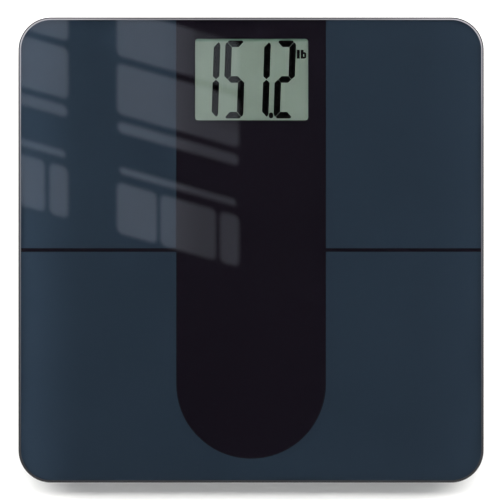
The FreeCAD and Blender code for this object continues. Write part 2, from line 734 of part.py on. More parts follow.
def board_parts():
    """Surface parts on the board: a crystal can, capacitors and resistors."""
    top = BOARD_TOP
    shapes = [rounded_plate(5.5, 2.2, 2.1, top, top + 1.6, 14.0, 122.0)]
    for i in range(6):
        x = 8.0 + 4.0 * i
        shapes.append(box(x, x + 2.0, 103.0, 104.25, top, top + 0.8))
        shapes.append(box(x, x + 2.0, 96.0, 97.25, top, top + 0.6))
    for i in range(4):
        y = 100.0 + 6.0 * i
        shapes.append(box(-30.0, -28.4, y, y + 3.2, top, top + 1.2))
    return shapes


def solder_joints():
    """Solder where the wires end under the board and on the contact tabs."""
    spots = []
    for corner in CORNERS:
        for lane in (-1, 0, 1):
            end = shifted_route(wire_corners(corner), lane * WIRE_PITCH)[-1]
            spots.append((end.x, end.y))
    for i in (0, 1):
        end = battery_wire_corners(i)[-1]
        spots.append((end.x, end.y))
    wires = [wire for corner in CORNERS for wire in cell_wires(corner)] + battery_wires()
    top = BOARD_BOTTOM
    joints = [cone(x, y, WIRE_Z - 0.35, top, 0.35, 0.6) for x, y in spots]
    return [joint.cut(wires) for joint in joints]


def board_screws():
    screws = []
    for x, y in SCREW_SPOTS:
        head = cone(x, y, BOARD_TOP, BOARD_TOP + 1.4, 2.5, 2.0)
        shank = cylinder(x, y, 9.6, BOARD_TOP, 1.0)
        slot = box(x - 1.4, x + 1.4, y - 0.3, y + 0.3, BOARD_TOP + 0.6, BOARD_TOP + 1.4)
        cross = box(x - 0.3, x + 0.3, y - 1.4, y + 1.4, BOARD_TOP + 0.6, BOARD_TOP + 1.4)
        screws.append(joined([head, shank]).cut([slot, cross]))
    return screws


def unit_switch():
    """Small push switch on the underside of the board."""
    half = 3.0
    case = box(
        SWITCH_X - half, SWITCH_X + half, SWITCH_Y - half, SWITCH_Y + half,
        SWITCH_BOTTOM, BOARD_BOTTOM)
    room_top = PLUNGER_TOP + BUTTON_TRAVEL + 0.3
    return case.cut(cylinder(SWITCH_X, SWITCH_Y, SWITCH_BOTTOM, room_top, 1.8))


def unit_switch_plunger():
    return cylinder(SWITCH_X, SWITCH_Y, PLUNGER_BOTTOM, PLUNGER_TOP, 1.7)


def unit_button():
    """Button cap in the underside, with a collar inside and a stem up to the plunger."""
    bottom = TRAY_BOTTOM + 0.2
    collar_bottom = FLOOR_TOP + 0.65
    collar_top = FLOOR_TOP + 1.3
    cap = cylinder(SWITCH_X, SWITCH_Y, bottom, collar_bottom, BUTTON_R)
    collar = cylinder(SWITCH_X, SWITCH_Y, collar_bottom, collar_top, BUTTON_R + 1.2)
    stem = cylinder(SWITCH_X, SWITCH_Y, collar_top, PLUNGER_BOTTOM, 1.5)
    dimple = cone(SWITCH_X, SWITCH_Y, bottom, bottom + 0.4, 3.2, 2.6)
    return joined([cap, collar, stem]).cut(dimple)


# ---- battery box contents ----
def battery_cell(side):
    """AAA cell lying along X. Its cap points to +X when side is 1."""
    can_r = CELL_R
    cap_r = 1.9
    cap = 0.8
    soft = 0.5
    long = CELL_LONG - cap
    corner = soft * (1 - math.cos(math.pi / 4))
    edges = [
        Part.makeLine(Vec(0, 0, 0), Vec(0, can_r - soft, 0)),
        Part.Arc(Vec(0, can_r - soft, 0), Vec(corner, can_r - corner, 0),
                 Vec(soft, can_r, 0)).toShape(),
        Part.makeLine(Vec(soft, can_r, 0), Vec(long - soft, can_r, 0)),
        Part.Arc(Vec(long - soft, can_r, 0), Vec(long - corner, can_r - corner, 0),
                 Vec(long, can_r - soft, 0)).toShape(),
        Part.makeLine(Vec(long, can_r - soft, 0), Vec(long, cap_r, 0)),
        Part.makeLine(Vec(long, cap_r, 0), Vec(CELL_LONG, cap_r, 0)),
        Part.makeLine(Vec(CELL_LONG, cap_r, 0), Vec(CELL_LONG, 0, 0)),
        Part.makeLine(Vec(CELL_LONG, 0, 0), Vec(0, 0, 0)),
    ]
    cell = Part.Face(Part.Wire(edges)).revolve(Vec(0, 0, 0), Vec(1, 0, 0), 360)
    cell.translate(Vec(CONTACT_X - CELL_LONG, 0, 0))
    if side < 0:
        cell.rotate(Vec(0, 0, 0), UP, 180)
    cell.translate(Vec(0, side * CELL_PITCH / 2, CELL_AXIS_Z))
    return cell


def spring(side, y):
    """Conical spring from the contact on one side up to the flat end of a cell."""
    wire_r = 0.3
    reach = 2 * CONTACT_X - CELL_LONG - 0.1
    helix = Part.makeHelix(1.45, reach - wire_r, 3.9, -10.0)
    start = helix.Edges[0].valueAt(helix.Edges[0].FirstParameter)
    direction = helix.Edges[0].tangentAt(helix.Edges[0].FirstParameter)
    ring = Part.Wire(Part.makeCircle(wire_r, start, direction))
    coil = Part.Wire(helix.Edges).makePipeShell([ring], True, True)
    coil.rotate(Vec(0, 0, 0), Vec(0, 1, 0), -90 * side)
    coil.translate(Vec(side * (CONTACT_X - 0.02), y, CELL_AXIS_Z))
    return coil


def contact_plate(side, y0, y1):
    near, far = sorted((side * CONTACT_X, side * (CONTACT_X + 0.4)))
    return box(near, far, y0, y1, CELL_AXIS_Z - CONTACT_TALL, CELL_AXIS_Z + CONTACT_TALL)


def tab(y):
    """Tab of an end contact, through the box wall to its solder joint."""
    return box(CONTACT_X + 0.2, TAB_END_X, y - 1.4, y + 1.4, WIRE_Z - 0.2, WIRE_Z + 0.2)


def positive_contact():
    y = CELL_PITCH / 2
    return joined([contact_plate(1, y - 4.6, y + 4.6), tab(y)])


def negative_contact():
    y = -CELL_PITCH / 2
    return joined([contact_plate(1, y - 4.6, y + 4.6), tab(y), spring(1, y)])


def bridge_contact():
    reach = CELL_PITCH / 2 + 4.6
    return joined([contact_plate(-1, -reach, reach), spring(-1, CELL_PITCH / 2)])


def battery_wires():
    wires = []
    for i in (0, 1):
        wires.append(round_wire(bent_path(battery_wire_corners(i), 2.2), WIRE_R))
    return wires


def battery_door():
    """Door plate with a barrel edge and two hinge pins, and a springy latch."""
    half = DOOR_OPEN_X - DOOR_GAP
    back = DOOR_OPEN_Y0 + DOOR_GAP
    plate = box(-half, half, back, HINGE_Y, TRAY_BOTTOM, TRAY_BOTTOM + DOOR_THICK)
    barrel = Part.makeCylinder(HINGE_R, 2 * half, Vec(-half, HINGE_Y, HINGE_Z), Vec(1, 0, 0))
    pins = Part.makeCylinder(
        PIN_R, 2 * half + 3.6, Vec(-half - 1.8, HINGE_Y, HINGE_Z), Vec(1, 0, 0))
    grip = [
        box(-9.0 + 2 * i, -8.2 + 2 * i, -9.0, -3.0, TRAY_BOTTOM, TRAY_BOTTOM + 0.3)
        for i in range(9)]
    whole = joined([plate, barrel, pins] + latch(back))
    return whole.cut(grip)


def latch(back):
    """Bent tongue at the door's free edge: up, over, and down to a finger lip."""
    half = LATCH_HALF_X
    top = 12.6
    lip_y = LATCH_BACK_Y + 1.3 + 0.35
    inner = box(-half, half, back, back + 1.0, TRAY_BOTTOM, top)
    bridge = box(-half, half, lip_y, back + 1.0, top - 1.0, top)
    outer = box(-half, half, lip_y, lip_y + 1.0, TRAY_BOTTOM, top)
    catch = box(-half + 1, half - 1, lip_y - 0.3, lip_y, FLOOR_TOP + 0.1, FLOOR_TOP + 1.1)
    return [inner, bridge, outer, catch]


def main():
    os.makedirs("parts", exist_ok=True)
    save("glass_platform", [glass_platform()])
    save("printed_panel_black", [printed_panel_black()])
    save("printed_field_blue", [printed_field_blue()])
    save("platform_tape", [platform_tape()])
    save("base_tray", [base_tray()])
    for corner, (x, y) in CORNERS.items():
        save("load_cell_" + corner, [load_cell(x, y)])
        save("gauge_cover_" + corner, [gauge_cover(x, y)])
        save("cell_wires_" + corner, cell_wires(corner))
        save("foot_" + corner, [foot(x, y)])
        save("foot_pad_" + corner, [foot_pad(x, y)])
    save("lcd_segments", lcd_segments())
    save("lcd_polariser", [lcd_polariser()])
    save("lcd_front_glass", [lcd_front_glass()])
    save("lcd_rear_glass", [lcd_rear_glass()])
    save("lcd_reflector", [lcd_reflector()])
    save("lcd_holder", [lcd_holder()])
    save("zebra_strip", [zebra_strip()])
    save("main_board", [main_board()])
    save("board_chip", [board_chip()])
    save("board_parts", board_parts())
    save("solder_joints", solder_joints())
    save("board_screws", board_screws())
    save("unit_switch", [unit_switch()])
    save("unit_switch_plunger", [unit_switch_plunger()])
    save("unit_button", [unit_button()])
    save("battery_cell_front", [battery_cell(1)])
    save("battery_cell_rear", [battery_cell(-1)])
    save("positive_contact", [positive_contact()])
    save("negative_contact", [negative_contact()])
    save("bridge_contact", [bridge_contact()])
    save("battery_wires", battery_wires())
    save("battery_door", [battery_door()])


main()
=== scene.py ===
import math

import bmesh
import bpy
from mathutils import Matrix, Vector


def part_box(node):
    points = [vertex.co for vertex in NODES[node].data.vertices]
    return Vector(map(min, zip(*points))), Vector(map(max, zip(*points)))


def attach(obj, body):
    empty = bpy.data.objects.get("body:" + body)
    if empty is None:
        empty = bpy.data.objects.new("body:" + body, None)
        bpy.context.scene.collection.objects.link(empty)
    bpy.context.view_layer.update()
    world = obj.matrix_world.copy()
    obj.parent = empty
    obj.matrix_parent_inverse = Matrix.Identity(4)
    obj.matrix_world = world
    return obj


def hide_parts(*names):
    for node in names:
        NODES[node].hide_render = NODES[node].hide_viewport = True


bl_info = {
    "name": "Glass Bathroom Scale",
    "version": (1, 0, 0),
    "blender": (4, 5, 0),
    "location": "View3D > Sidebar > Bathroom Scale",
    "description": "Finishes the pieces of a square glass bathroom scale and sets it on a stage",
    "category": "Object",
}

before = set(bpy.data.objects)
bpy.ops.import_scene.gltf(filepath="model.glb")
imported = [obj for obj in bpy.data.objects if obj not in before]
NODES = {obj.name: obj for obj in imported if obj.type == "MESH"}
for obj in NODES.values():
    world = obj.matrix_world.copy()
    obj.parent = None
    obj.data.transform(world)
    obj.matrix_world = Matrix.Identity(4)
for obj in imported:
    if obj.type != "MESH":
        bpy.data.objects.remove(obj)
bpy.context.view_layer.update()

MM = 0.001
FLAT = 0.999                                      # upward part of a level face's normal
STEEP = 0.1                                       # the same for the steepest face of a bevel
GLASS_LOW, GLASS_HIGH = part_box("glass_platform")
BLUE_LOW, BLUE_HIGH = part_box("printed_field_blue")
CORNERS = ("front_left", "front_right", "rear_left", "rear_right")
NUB_SHARE = 0.6                                   # height of a nub, as a share of its groove


def window_in_print():
    """Lowest and highest corner of the clear window, the print's only edge over the display."""
    low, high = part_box("lcd_front_glass")
    rim = [vertex.co.xy for vertex in NODES["printed_panel_black"].data.vertices
           if low.x < vertex.co.x < high.x and low.y < vertex.co.y < high.y]
    across = [point.x for point in rim]
    along = [point.y for point in rim]
    return Vector((min(across), min(along))), Vector((max(across), max(along)))


WINDOW_LOW, WINDOW_HIGH = window_in_print()


# ---- properties ----
class ScaleSizes(bpy.types.PropertyGroup):
    """Sizes of the pieces and of the stage."""

    corner_radius: bpy.props.FloatProperty(
        name="Corner radius", description="Corner radius of the glass, seen from above",
        default=21 * MM, min=5 * MM, max=40 * MM, unit="LENGTH")
    edge_bevel: bpy.props.FloatProperty(
        name="Edge bevel", description="Width of the polished bevel along the top edge",
        default=1.8 * MM, min=0.3 * MM, max=3 * MM, unit="LENGTH")
    grain: bpy.props.FloatProperty(
        name="Moulded grain", description="Size of the grain in the moulded plastic",
        default=0.35 * MM, min=0.1 * MM, max=2 * MM, unit="LENGTH")
    nub_spacing: bpy.props.FloatProperty(
        name="Nub spacing", description="Distance between the grip nubs in a pad's grooves",
        default=2.4 * MM, min=1.5 * MM, max=6 * MM, unit="LENGTH")
    nub_radius: bpy.props.FloatProperty(
        name="Nub radius", description="Radius of a grip nub where it meets the pad",
        default=0.55 * MM, min=0.2 * MM, max=0.7 * MM, unit="LENGTH")
    camera_height: bpy.props.FloatProperty(
        name="Camera height", description="Distance from the glass up to the camera",
        default=1.2, min=0.4, max=5, unit="LENGTH")
    view_width: bpy.props.FloatProperty(
        name="View width", description="Width of what the camera sees at the glass",
        default=0.322, min=0.2, max=2, unit="LENGTH")


class ScaleColours(bpy.types.PropertyGroup):
    """Colours of the finishes, as linear values."""

    blue: bpy.props.FloatVectorProperty(
        name="Printed field", description="Slate blue printed on the back of the glass",
        subtype="COLOR", size=3, min=0, max=1, default=(0.0207, 0.0333, 0.052))
    black: bpy.props.FloatVectorProperty(
        name="Printed panel", description="Black printed on the back of the glass",
        subtype="COLOR", size=3, min=0, max=1, default=(0.0068, 0.0049, 0.0092))
    display: bpy.props.FloatVectorProperty(
        name="Display", description="Grey green ground of the display",
        subtype="COLOR", size=3, min=0, max=1, default=(0.174, 0.21, 0.182))
    tray: bpy.props.FloatVectorProperty(
        name="Tray", description="Moulded plastic of the tray and the battery door",
        subtype="COLOR", size=3, min=0, max=1, default=(0.018, 0.018, 0.02))
    pad: bpy.props.FloatVectorProperty(
        name="Foot pads", description="Rubber of the foot pads",
        subtype="COLOR", size=3, min=0, max=1, default=(0.05, 0.05, 0.053))
    floor: bpy.props.FloatVectorProperty(
        name="Floor", description="Pale floor under the scale",
        subtype="COLOR", size=3, min=0, max=1, default=(0.86, 0.86, 0.855))


# ---- shader nodes ----
class Value:
    """A socket that takes part in Python arithmetic."""

    def __init__(self, nodes, socket):
        self.nodes = nodes
        self.socket = socket

    def _math(self, operation, first, second=0.0):
        node = self.nodes.add("ShaderNodeMath", {"operation": operation})
        for socket, value in zip(node.inputs, (first, second)):
            self.nodes.feed(socket, value)
        return Value(self.nodes, node.outputs[0])

    def __add__(self, other):
        return self._math("ADD", self, other)

    __radd__ = __add__

    def __sub__(self, other):
        return self._math("SUBTRACT", self, other)

    def __rsub__(self, other):
        return self._math("SUBTRACT", other, self)

    def __mul__(self, other):
        return self._math("MULTIPLY", self, other)

    __rmul__ = __mul__

    def __truediv__(self, other):
        return self._math("DIVIDE", self, other)

    def __abs__(self):
        return self._math("ABSOLUTE", self)

    def __mod__(self, other):
        return self._math("FLOORED_MODULO", self, other)

    def at_least(self, other):
        return self._math("MAXIMUM", self, other)

    def power(self, other):
        return self._math("POWER", self, other)

    def step(self, start, end):
        """0 before start, 1 after end, with a soft rise between."""
        node = self.nodes.add(
            "ShaderNodeMapRange", {"interpolation_type": "SMOOTHSTEP"},
            {"Value": self, "From Min": start, "From Max": end})
        return Value(self.nodes, node.outputs[0])


class Nodes:
    """The nodes of one new material."""

    def __init__(self, name):
        self.material = bpy.data.materials.new(name)
        self.material.use_nodes = True
        self.tree = self.material.node_tree
        self.tree.nodes.clear()
        self.place = None

    def add(self, kind, settings=None, inputs=None):
        node = self.tree.nodes.new(kind)
        for key, value in (settings or {}).items():
            setattr(node, key, value)
        for key, value in (inputs or {}).items():
            self.feed(node.inputs[key], value)
        return node

    def feed(self, socket, value):
        if isinstance(value, Value):
            self.tree.links.new(value.socket, socket)
        elif socket.type == "RGBA":
            socket.default_value = (*value[:3], 1.0)
        else:
            socket.default_value = value

    def out(self, node, name=0):
        return Value(self, node.outputs[name])

    def coordinates(self):
        if self.place is None:
            self.place = self.out(self.add("ShaderNodeTexCoord"), "Object")
        return self.place

    def axes(self):
        node = self.add("ShaderNodeSeparateXYZ", inputs={"Vector": self.coordinates()})
        return [self.out(node, i) for i in range(3)]

    def stretched(self, scale):
        node = self.add(
            "ShaderNodeMapping", inputs={"Vector": self.coordinates(), "Scale": scale})
        return self.out(node)

    def noise(self, size, detail=3.0, roughness=0.5, vector=None):
        """Cloudy noise from 0 to 1 whose lumps are about that size in metres."""
        node = self.add("ShaderNodeTexNoise", inputs={
            "Vector": vector or self.coordinates(), "Scale": 1.0 / size,
            "Detail": detail, "Roughness": roughness})
        return self.out(node)

    def pits(self, size):
        """Distance to the nearest of many scattered points."""
        node = self.add("ShaderNodeTexVoronoi", inputs={
            "Vector": self.coordinates(), "Scale": 1.0 / size})
        return self.out(node, "Distance")

    def mix(self, mask, first, second):
        node = self.add("ShaderNodeMix", {"data_type": "RGBA"})
        self.feed(node.inputs[0], mask)
        self.feed(node.inputs[6], first)
        self.feed(node.inputs[7], second)
        return self.out(node, 2)

    def soft_edges(self, radius):
        """Normal with its edges rounded by that radius."""
        node = self.add("ShaderNodeBevel", {"samples": 6}, {"Radius": radius})
        return self.out(node)

    def edge_mask(self, rounded):
        """1 close to an edge and 0 on the faces."""
        true_normal = self.out(self.add("ShaderNodeNewGeometry"), "Normal")
        node = self.add("ShaderNodeVectorMath", {"operation": "DOT_PRODUCT"})
        self.feed(node.inputs[0], rounded)
        self.feed(node.inputs[1], true_normal)
        return 1 - self.out(node, "Value").step(0.82, 0.995)

    def bump(self, height, depth, normal=None, strength=1.0):
        inputs = {"Height": height, "Distance": depth, "Strength": strength}
        if normal is not None:
            inputs["Normal"] = normal
        return self.out(self.add("ShaderNodeBump", inputs=inputs))

    def surface(self, **values):
        """Principled surface. Names are the shader's own, with _ for each space."""
        inputs = {key.replace("_", " "): value for key, value in values.items()}
        shader = self.add("ShaderNodeBsdfPrincipled", inputs=inputs)
        output = self.add("ShaderNodeOutputMaterial")
        self.tree.links.new(shader.outputs[0], output.inputs["Surface"])
        return self.material


def scaled(colour, factor):
    """Colour with every channel times the factor."""
    return tuple(channel * factor for channel in colour)


def brightened(colour, amount):
    """Colour moved toward white by that amount."""
    return tuple(channel + (1 - channel) * amount for channel in colour)


# ---- finishes ----
def clear_glass(name, tint, roughness, waviness):
    """Float glass with faint smears and a very slight waviness."""
    nodes = Nodes(name)
    smears = nodes.noise(18 * MM, 4, 0.6).step(0.45, 0.8)
    normal = nodes.bump(nodes.noise(45 * MM, 1), waviness)
    return nodes.surface(
        Base_Color=tint, Roughness=roughness + 0.008 * smears, IOR=1.52,
        Transmission_Weight=1.0, Normal=normal)


def ground_edge(name, tint, corner_radius):
    """Smoky ground edge with a frosted line on its inner part. The line's light grey is a painted
    highlight, strongest at the display end and at the corners, fading out toward the other end.
    """
    nodes = Nodes(name)
    x, y, _ = nodes.axes()
    past_x = (abs(x) - (GLASS_HIGH.x - corner_radius)).at_least(0.0)
    past_y = (abs(y) - (GLASS_HIGH.y - corner_radius)).at_least(0.0)
    inward = corner_radius - (past_x * past_x + past_y * past_y).power(0.5)
    line = inward.step(0.7 * MM, 1.1 * MM)
    # painted highlight: the frosted line is painted light grey toward the display end, and more so
    # at the corners
    painted_light_display_end = (y / GLASS_HIGH.y).step(-0.9, 0.75)
    reach = (x * x + y * y).power(0.5) / GLASS_HIGH.x
    frost_and_painted_highlight = line * painted_light_display_end * (0.5 + 0.5 * reach.step(1.05, 1.3))
    grain = nodes.noise(0.6 * MM, 3, 0.6)
    base = nodes.mix(frost_and_painted_highlight * (0.85 + 0.3 * grain), scaled(tint, 0.08), tint)
    return nodes.surface(
        Base_Color=base, Roughness=0.1 + 0.25 * line + 0.08 * grain, IOR=1.52,
        Transmission_Weight=0.5,
        Specular_IOR_Level=0.12, Normal=nodes.bump(grain, 0.004 * MM))


def ink_print(name, colour, left_painted_light, right_painted_light):
    """Ink bonded to the glass: faintly cloudy, with painted light that makes it a little paler
    toward both sides.
    """
    nodes = Nodes(name)
    x, _, _ = nodes.axes()
    outward = x / GLASS_HIGH.x
    clouds = nodes.noise(60 * MM, 2).step(0.25, 0.75)
    body = nodes.mix(clouds, scaled(colour, 0.96), scaled(colour, 1.04))
    # painted light: the ink is painted paler toward the left and right sides of the glass
    body = nodes.mix(outward.step(-0.7, -1.0), body, scaled(colour, left_painted_light))
    with_painted_light = nodes.mix(outward.step(0.7, 1.0), body, scaled(colour, right_painted_light))
    speckle = nodes.noise(0.4 * MM, 2)
    return nodes.surface(
        Base_Color=with_painted_light, Roughness=0.5 + 0.15 * speckle,
        Normal=nodes.bump(speckle, 0.004 * MM), Specular_IOR_Level=0.02)


def moulded_plastic(name, colour, grain, edge=0.25 * MM, roughness=0.5):
    """Spark-eroded moulding: fine grain, slightly cloudy, polished along its edges."""
    nodes = Nodes(name)
    pits = nodes.noise(grain, 4, 0.65)
    clouds = nodes.noise(25 * MM, 3).step(0.3, 0.7)
    rounded = nodes.soft_edges(edge)
    worn = nodes.edge_mask(rounded) * nodes.noise(3 * MM, 4, 0.7).step(0.42, 0.62)
    body = nodes.mix(clouds, scaled(colour, 0.9), scaled(colour, 1.12))
    base = nodes.mix(worn * 0.45, body, brightened(colour, 0.16))
    rough = roughness + 0.12 * pits + 0.05 * clouds - 0.16 * worn
    return nodes.surface(
        Base_Color=base, Roughness=rough, Specular_IOR_Level=0.45,
        Normal=nodes.bump(pits, 0.05 * MM, rounded, 0.6))


def soft_rubber(name, colour):
    """Matt rubber with fine pits and a dusty bloom."""
    nodes = Nodes(name)
    bloom = nodes.noise(5 * MM, 4, 0.6).step(0.4, 0.75)
    pits = nodes.noise(0.5 * MM, 3)
    base = nodes.mix(bloom * 0.5, colour, brightened(colour, 0.09))
    return nodes.surface(
        Base_Color=base, Roughness=0.72 + 0.18 * bloom, Specular_IOR_Level=0.3,
        Normal=nodes.bump(pits, 0.06 * MM, nodes.soft_edges(0.3 * MM), 0.5))


def foam_tape(name, colour):
    """Closed-cell foam, with its cells open along the cut edge."""
    nodes = Nodes(name)
    cells = nodes.pits(0.35 * MM)
    base = nodes.mix(cells.step(0.1, 0.6), scaled(colour, 1.4), scaled(colour, 0.7))
    return nodes.surface(
        Base_Color=base, Roughness=0.85 + 0.1 * cells, Normal=nodes.bump(cells, 0.1 * MM))


def rolled_steel(name, colour, roughness=0.28):
    """Rolled and plated sheet: streaks along the rolling direction and softened edges."""
    nodes = Nodes(name)
    streaks = nodes.noise(1.0, 3, 0.6, nodes.stretched((1500, 90, 300)))
    stains = nodes.noise(6 * MM, 4, 0.6).step(0.5, 0.8)
    rounded = nodes.soft_edges(0.2 * MM)
    base = nodes.mix(stains * 0.5, colour, scaled(colour, 0.72))
    return nodes.surface(
        Base_Color=base, Metallic=1.0, Roughness=roughness + 0.16 * streaks + 0.1 * stains,
        Normal=nodes.bump(streaks, 0.01 * MM, rounded, 0.4))


def bright_metal(name, colour, roughness=0.2):
    """Small plated or soldered metal parts."""
    nodes = Nodes(name)
    dull = nodes.noise(0.8 * MM, 4, 0.6)
    base = nodes.mix(dull.step(0.45, 0.75), colour, scaled(colour, 0.8))
    return nodes.surface(
        Base_Color=base, Metallic=1.0, Roughness=roughness + 0.2 * dull,
        Normal=nodes.bump(dull, 0.02 * MM, nodes.soft_edges(0.1 * MM), 0.4))


def wire_jacket(name, colour):
    """Soft plastic insulation with a slight sheen."""
    nodes = Nodes(name)
    scuffs = nodes.noise(1.2 * MM, 4, 0.65)
    base = nodes.mix(scuffs.step(0.4, 0.7), colour, scaled(colour, 0.8))
    return nodes.surface(
        Base_Color=base, Roughness=0.35 + 0.2 * scuffs, Normal=nodes.bump(scuffs, 0.02 * MM))


def silicone(name, colour):
    """Lumpy, half-glossy sealant."""
    nodes = Nodes(name)
    lumps = nodes.noise(1.5 * MM, 3)
    base = nodes.mix(lumps.step(0.3, 0.8), colour, scaled(colour, 0.86))
    return nodes.surface(
        Base_Color=base, Roughness=0.3 + 0.2 * lumps,
        Normal=nodes.bump(lumps, 0.15 * MM, nodes.soft_edges(0.3 * MM)))


def display_ground(name, colour):
    """Grey green film over the display, with a painted shadow along the top of the window."""
    nodes = Nodes(name)
    _, y, _ = nodes.axes()
    clouds = nodes.noise(22 * MM, 2).step(0.3, 0.7)
    fibres = nodes.noise(1.0, 2, 0.5, nodes.stretched((4000, 200, 200)))
    # painted shadow: the film is darker in a band just under the window's top edge
    lit = (WINDOW_HIGH.y - y).step(0.4 * MM, 2.4 * MM)
    base = nodes.mix(clouds, scaled(colour, 0.97), scaled(colour, 1.03))
    base = nodes.mix(lit, (0.5 * colour[0], 0.68 * colour[1], 0.62 * colour[2]), base)
    return nodes.surface(
        Base_Color=base, Roughness=0.45 + 0.1 * fibres, Specular_IOR_Level=0.05,
        Normal=nodes.bump(fibres, 0.002 * MM))


def display_bars(name):
    """Dark bars of the reading, a shade uneven as liquid crystal is."""
    nodes = Nodes(name)
    uneven = nodes.noise(2 * MM, 3)
    base = nodes.mix(uneven, (0.0015, 0.0015, 0.0017), (0.003, 0.003, 0.0033))
    return nodes.surface(Base_Color=base, Roughness=0.4 + 0.1 * uneven, Specular_IOR_Level=0.0)


def foil(name, colour):
    """Slightly creased reflector foil."""
    nodes = Nodes(name)
    creases = nodes.noise(4 * MM, 4, 0.6)
    base = nodes.mix(creases.step(0.3, 0.7), colour, scaled(colour, 0.9))
    return nodes.surface(
        Base_Color=base, Metallic=1.0, Roughness=0.3 + 0.15 * creases,
        Normal=nodes.bump(creases, 0.05 * MM))


def layered_rubber(name):
    """Rubber strip of thin conducting and plain layers side by side."""
    nodes = Nodes(name)
    x, _, _ = nodes.axes()
    layer = abs((x / (0.5 * MM)) % 1.0 - 0.5).step(0.2, 0.3)
    base = nodes.mix(layer, (0.55, 0.2, 0.24), (0.03, 0.03, 0.03))
    return nodes.surface(
        Base_Color=base, Roughness=0.6 + 0.15 * layer, Normal=nodes.bump(layer, 0.02 * MM))


def circuit_board(name):
    """Green solder mask over copper tracks, which run one way in some patches and across in
    others.
    """
    nodes = Nodes(name)
    x, y, _ = nodes.axes()
    wander = nodes.noise(14 * MM, 1)
    lane = ((x + 6 * MM * wander) / (1.6 * MM)) % 1.0
    row = ((y + 5 * MM * wander) / (1.6 * MM)) % 1.0
    regions = nodes.noise(11 * MM, 1).step(0.48, 0.52)
    track = abs(lane - 0.5).step(0.28, 0.2) * regions
    cross = abs(row - 0.5).step(0.28, 0.2) * (1 - regions)
    copper = track.at_least(cross)
    green = nodes.mix(copper, (0.008, 0.07, 0.03), (0.02, 0.15, 0.06))
    weave = nodes.noise(0.5 * MM, 2)
    return nodes.surface(
        Base_Color=green, Roughness=0.3 + 0.15 * weave, Coat_Weight=0.3,
        Normal=nodes.bump(copper, 0.04 * MM, nodes.soft_edges(0.15 * MM), 0.7))


def cast_resin(name):
    """Black resin poured over the chip, with a rippled gloss."""
    nodes = Nodes(name)
    ripple = nodes.noise(2.5 * MM, 3)
    base = nodes.mix(ripple, (0.006, 0.006, 0.007), (0.014, 0.014, 0.015))
    return nodes.surface(
        Base_Color=base, Roughness=0.22 + 0.15 * ripple, Normal=nodes.bump(ripple, 0.08 * MM))


def chip_bodies(name):
    """Small tan and grey board parts, the grey ones a little metallic."""
    nodes = Nodes(name)
    blotch = nodes.noise(5 * MM, 1).step(0.45, 0.55)
    base = nodes.mix(blotch, (0.3, 0.2, 0.11), (0.25, 0.25, 0.25))
    return nodes.surface(
        Base_Color=base, Roughness=0.35 + 0.15 * blotch,
        Normal=nodes.soft_edges(0.08 * MM), Metallic=0.4 * blotch)


def cell_sleeve(name, forward):
    """Printed sleeve of an AAA cell: dark body, blue toward the cap, bare steel ends."""
    nodes = Nodes(name)
    low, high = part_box("battery_cell_front" if forward else "battery_cell_rear")
    x, _, _ = nodes.axes()
    along = (x - low.x) if forward else (high.x - x)
    long = high.x - low.x
    blue = along.step(long - 13.1 * MM, long - 12.9 * MM)
    steel = (1 - along.step(0.9 * MM, 1.0 * MM)).at_least(
        along.step(long - 1.5 * MM, long - 1.4 * MM))
    line = abs(along - (long - 14.2 * MM)).step(0.35 * MM, 0.25 * MM)
    scuffs = nodes.noise(3 * MM, 4, 0.65)
    printed = nodes.mix(blue, (0.012, 0.012, 0.018), (0.008, 0.09, 0.32))
    printed = nodes.mix(line, printed, (0.35, 0.36, 0.38))
    base = nodes.mix(steel, printed, (0.6, 0.6, 0.6))
    return nodes.surface(
        Base_Color=base, Metallic=steel, Roughness=0.22 + 0.2 * scuffs,
        Coat_Weight=0.4 * (1 - steel), Normal=nodes.bump(scuffs, 0.01 * MM))


def pale_floor(name, colour):
    """Plain matt floor, very slightly cloudy."""
    nodes = Nodes(name)
    clouds = nodes.noise(0.2, 3)
    base = nodes.mix(clouds, scaled(colour, 0.99), colour)
    return nodes.surface(Base_Color=base, Roughness=0.6 + 0.1 * clouds, Specular_IOR_Level=0.2)


# ---- meshes ----
def rounded_square(half, radius, arc_steps):
    """Points of a rounded square round the origin, in order and without repeats."""
    points = []
    for quarter in range(4):
        middle = math.pi / 4 + quarter * math.pi / 2
        centre = Vector((math.cos(middle), math.sin(middle))) * math.sqrt(2) * (half - radius)
        for step in range(arc_steps + 1):
            angle = middle - math.pi / 4 + step * math.pi / 2 / arc_steps
            points.append(centre + Vector((math.cos(angle), math.sin(angle))) * radius)
    return points


def ringed_plate(name, profile, radius, arc_steps=24):
    """Closed plate through rounded squares, given as (half side, height) from the bottom up."""
    outer = max(half for half, _ in profile)
    mesh = bmesh.new()
    rings = []
    for half, z in profile:
        outline = rounded_square(half, radius - (outer - half), arc_steps)
        rings.append([mesh.verts.new((point.x, point.y, z)) for point in outline])
    for lower, upper in zip(rings, rings[1:]):
        for i in range(len(lower)):
            j = (i + 1) % len(lower)
            mesh.faces.new((lower[i], lower[j], upper[j], upper[i])).smooth = True
    mesh.faces.new(list(reversed(rings[0])))
    mesh.faces.new(rings[-1])
    return as_object(name, mesh)


def as_object(name, mesh):
    """Object made from a bmesh, which is freed."""
    data = bpy.data.meshes.new(name)
    mesh.to_mesh(data)
    mesh.free()
    made = bpy.data.objects.new(name, data)
    bpy.context.scene.collection.objects.link(made)
    return made


def flat_panel(name, corners):
    """Object of one flat face."""
    mesh = bmesh.new()
    mesh.faces.new([mesh.verts.new(corner) for corner in corners])
    return as_object(name, mesh)


def paint(node, *materials):
    """Gives a CAD node its finishes."""
    data = NODES[node].data
    data.materials.clear()
    for material in materials:
        data.materials.append(material)


